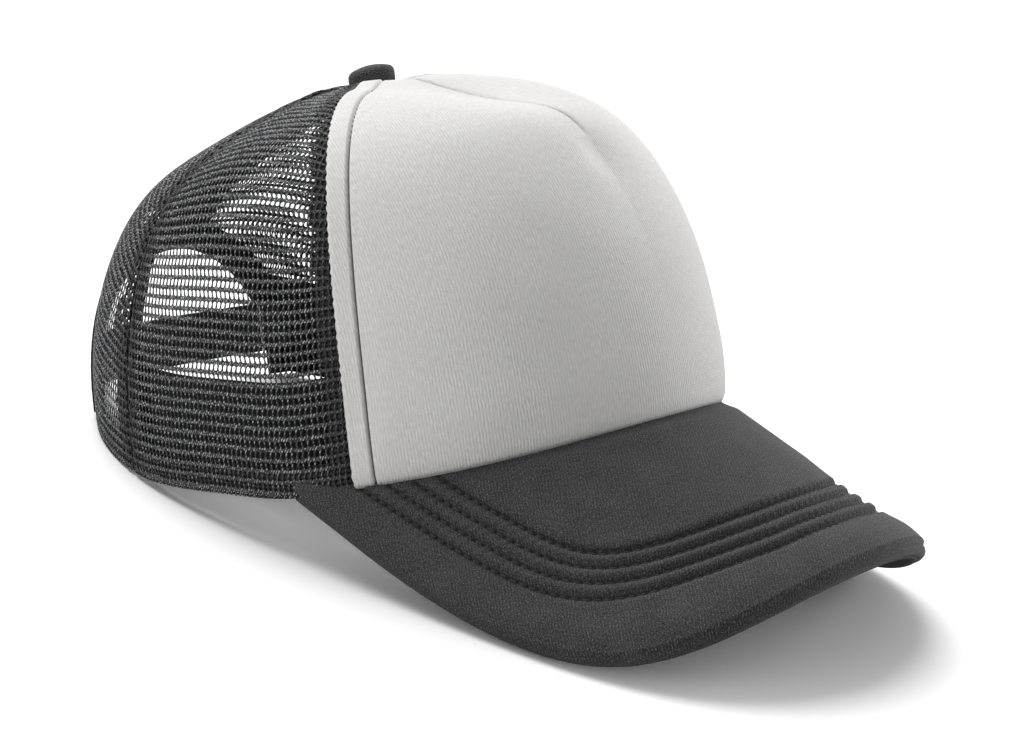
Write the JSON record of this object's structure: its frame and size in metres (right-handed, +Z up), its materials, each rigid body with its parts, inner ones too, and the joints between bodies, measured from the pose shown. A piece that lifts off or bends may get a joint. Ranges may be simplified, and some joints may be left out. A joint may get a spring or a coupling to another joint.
{
  "type": "trucker cap",
  "caption": "Mesh-backed trucker cap with a foam-backed front panel, a curved padded peak, a covered button and a snap strap below an arched rear opening.",
  "frame": {"origin": "middle of the cap's box, on the surface it rests on", "axes": "+Z up with the cap resting on the sides of its peak and the rim at the nape, -Y toward the front edge of the peak, -X toward the wearer's right"},
  "size_m": [0.1602, 0.2716, 0.1264],
  "materials": {
    "front_knit": "fine ribbed knit, matt white",
    "front_foam": "open-cell foam laminate, off-white",
    "net": "open warp-knit net, matt black",
    "seam_tape": "woven tape, matt black",
    "binding_tape": "woven binding, matt black",
    "band_buckram": "stiffened cloth, off-white",
    "band_cloth": "cotton twill, matt black",
    "peak_twill": "cotton twill, matt charcoal",
    "peak_felt": "needled felt, grey",
    "peak_board": "moulded board, matt black",
    "button_twill": "cotton twill, matt charcoal",
    "button_metal": "plain pressed sheet",
    "strap_plastic": "moulded plastic, satin black"
  },
  "bodies": {
    "cap": {"front_panel_face": "front_knit", "front_panel_foam": "front_foam", "side_panel_right": "net", "side_panel_left": "net", "back_panel_right": "net", "back_panel_left": "net", "front_seam_tape_right": "seam_tape", "front_seam_tape_left": "seam_tape", "side_seam_tape_right": "seam_tape", "side_seam_tape_left": "seam_tape", "back_seam_tape": "seam_tape", "arch_binding": "binding_tape", "sweatband_core": "band_buckram", "sweatband_cover": "band_cloth", "peak_top_cover": "peak_twill", "peak_padding": "peak_felt", "peak_board": "peak_board", "peak_under_cover": "peak_twill", "button_cover": "button_twill", "button_shell": "button_metal", "button_rivet": "button_metal", "button_washer": "button_metal", "strap_tab_right": "strap_plastic", "strap_tab_left": "strap_plastic"},
    "hole_strap": {"hole_strap": "strap_plastic"},
    "stud_strap": {"stud_strap": "strap_plastic"}
  },
  "joints": [
    {"name": "hole_strap_swing", "type": "hinge", "parent": "cap", "child": "hole_strap", "pos_m": [-0.03354, 0.12253, 0.01643], "axis": [0.0488, 0.241, 0.9693], "range_deg": [0, 60], "stiffness_Nm_per_rad": 0.02},
    {"name": "stud_strap_swing", "type": "hinge", "parent": "cap", "child": "stud_strap", "pos_m": [0.03286, 0.12127, 0.01687], "axis": [-0.0488, 0.241, 0.9693], "range_deg": [0, 45], "stiffness_Nm_per_rad": 0.02}
  ]
}
